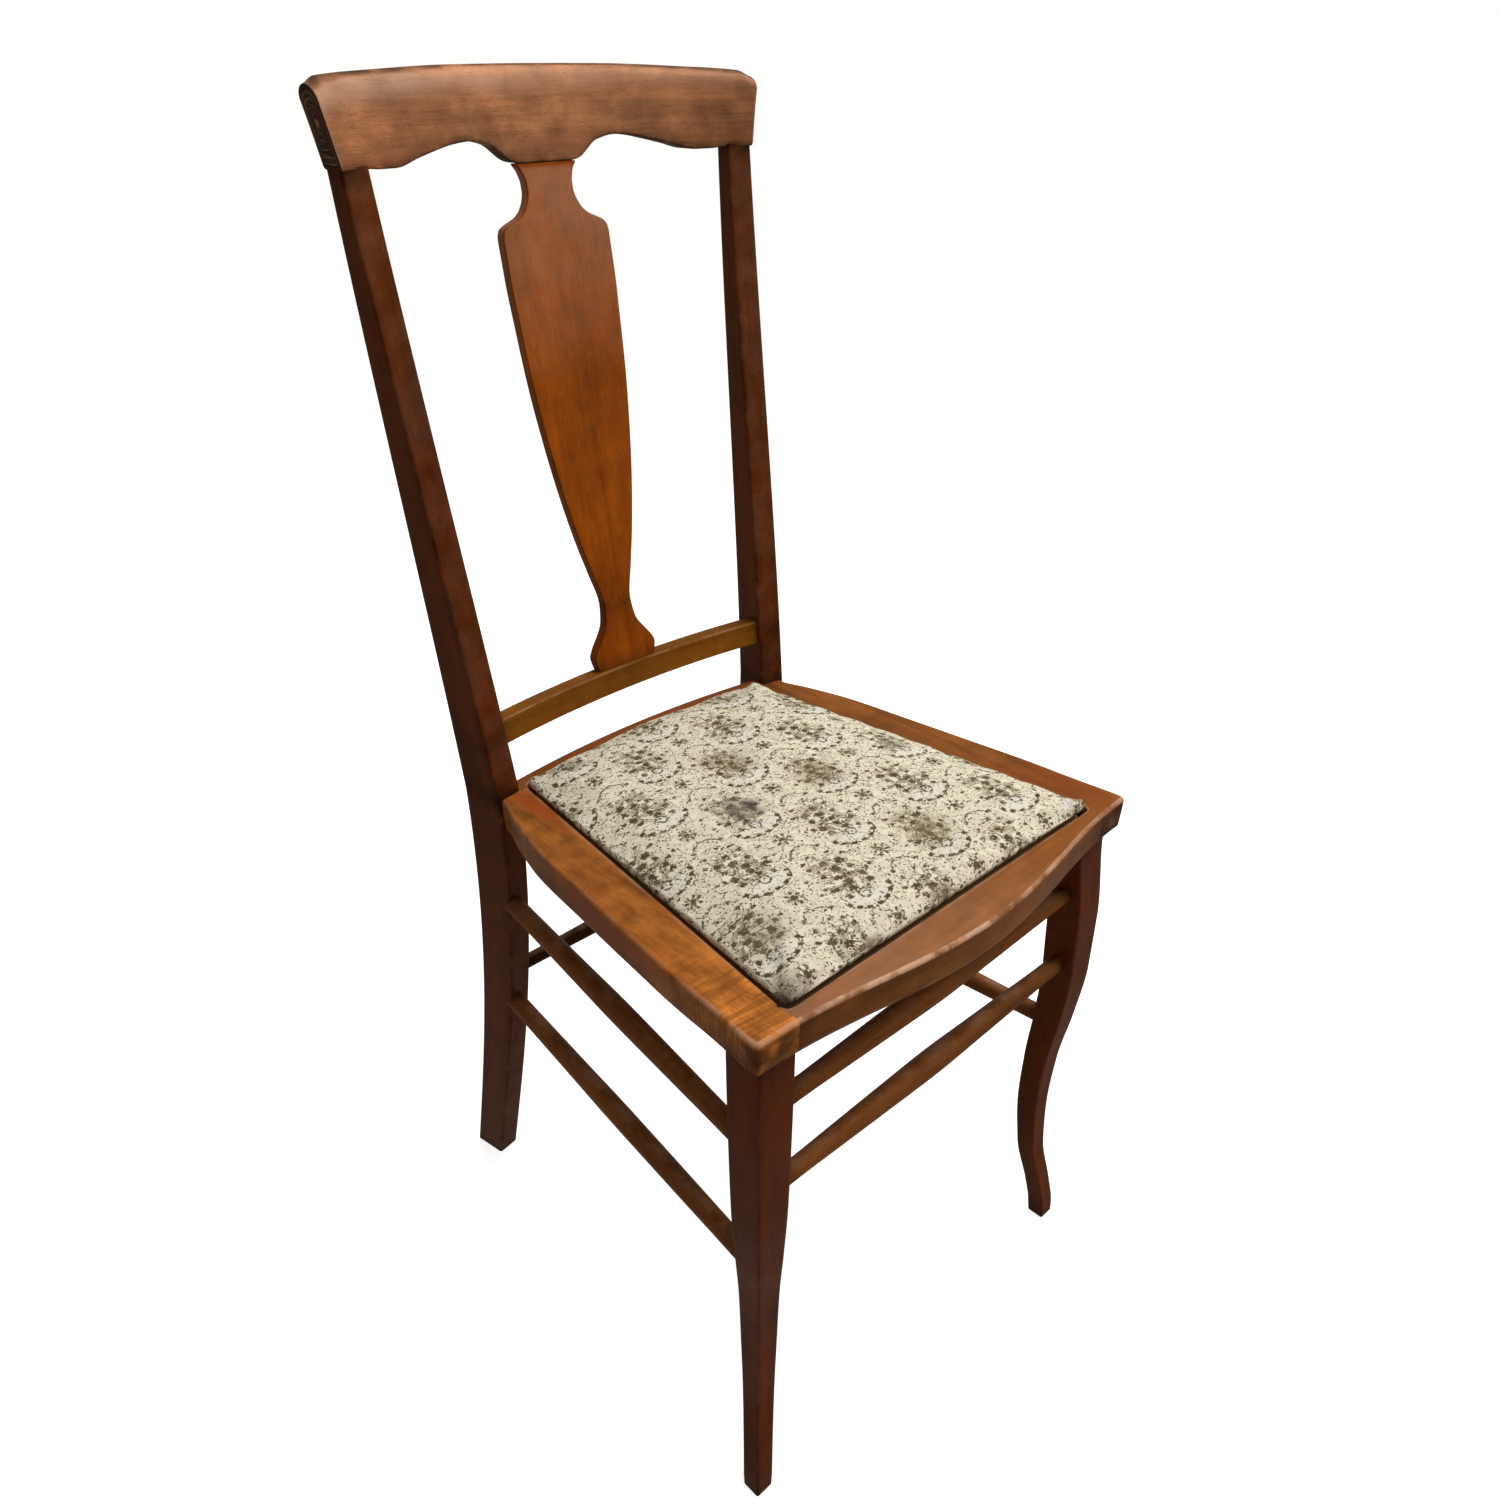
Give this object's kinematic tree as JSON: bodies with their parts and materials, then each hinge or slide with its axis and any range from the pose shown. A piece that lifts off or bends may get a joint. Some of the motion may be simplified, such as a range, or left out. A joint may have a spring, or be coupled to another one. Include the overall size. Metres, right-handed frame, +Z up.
{
  "type": "side chair",
  "caption": "Wooden side chair with a vase-shaped splat, bowed crest rail, curved front legs, turned stretchers and a lift-out upholstered seat.",
  "frame": {"origin": "centre of the bounding box on the floor, under the seat", "axes": "+Z up; the chair faces -Y; +X is towards the sitter's left"},
  "size_m": [0.3844, 0.4654, 0.9224],
  "materials": {
    "dark_wood": "satin",
    "rail_wood": "satin",
    "splat_wood": "satin",
    "stretcher_wood": "satin",
    "pale_wood": "matt",
    "cover_fabric": "woven",
    "webbing": "woven",
    "base_hessian": "woven",
    "bottom_cloth": "woven",
    "screw_steel": "satin"
  },
  "bodies": {
    "chair_frame": {"stretcher_front_upper": "stretcher_wood", "stretcher_front_lower": "stretcher_wood", "stretcher_side_upper_left": "stretcher_wood", "stretcher_side_upper_right": "stretcher_wood", "stretcher_side_lower_left": "stretcher_wood", "stretcher_side_lower_right": "stretcher_wood", "stretcher_rear": "dark_wood", "dowel_crest_left": "pale_wood", "dowel_crest_right": "pale_wood", "dowel_side_rail_left": "pale_wood", "dowel_side_rail_right": "pale_wood", "dowel_front_rail_left": "pale_wood", "dowel_front_rail_right": "pale_wood", "dowel_back_rail_left": "pale_wood", "dowel_back_rail_right": "pale_wood", "dowel_front_leg_left": "pale_wood", "dowel_front_leg_right": "pale_wood", "corner_block_front_left": "pale_wood", "corner_block_front_right": "pale_wood", "block_screw_front_1_left": "screw_steel", "block_screw_front_1_right": "screw_steel", "block_screw_front_2_left": "screw_steel", "block_screw_front_2_right": "screw_steel", "corner_block_back_left": "pale_wood", "corner_block_back_right": "pale_wood", "block_screw_back_1_left": "screw_steel", "block_screw_back_1_right": "screw_steel", "block_screw_back_2_left": "screw_steel", "block_screw_back_2_right": "screw_steel", "rear_post_left": "dark_wood", "rear_post_right": "dark_wood", "front_leg_left": "dark_wood", "front_leg_right": "dark_wood", "crest_rail": "rail_wood", "lower_back_rail": "dark_wood", "splat": "splat_wood", "seat_rail_front": "rail_wood", "seat_rail_left": "rail_wood", "seat_rail_right": "rail_wood", "seat_rail_back": "rail_wood"},
    "drop_in_seat": {"drop_in_dowel_front_left": "pale_wood", "drop_in_dowel_front_right": "pale_wood", "drop_in_dowel_back_left": "pale_wood", "drop_in_dowel_back_right": "pale_wood", "webbing_lengthwise_1": "webbing", "webbing_lengthwise_2": "webbing", "webbing_lengthwise_3": "webbing", "webbing_crosswise_1": "webbing", "webbing_crosswise_2": "webbing", "webbing_crosswise_3": "webbing", "base_cloth": "base_hessian", "bottom_cloth": "bottom_cloth", "seat_cushion": "cover_fabric", "drop_in_frame_front": "pale_wood", "drop_in_frame_back": "pale_wood", "drop_in_frame_left": "pale_wood", "drop_in_frame_right": "pale_wood"}
  },
  "joints": [
    {"name": "seat_lift_out", "type": "slide", "parent": "chair_frame", "child": "drop_in_seat", "axis": [0, 0, 1], "range_m": [0, 0.06]}
  ]
}
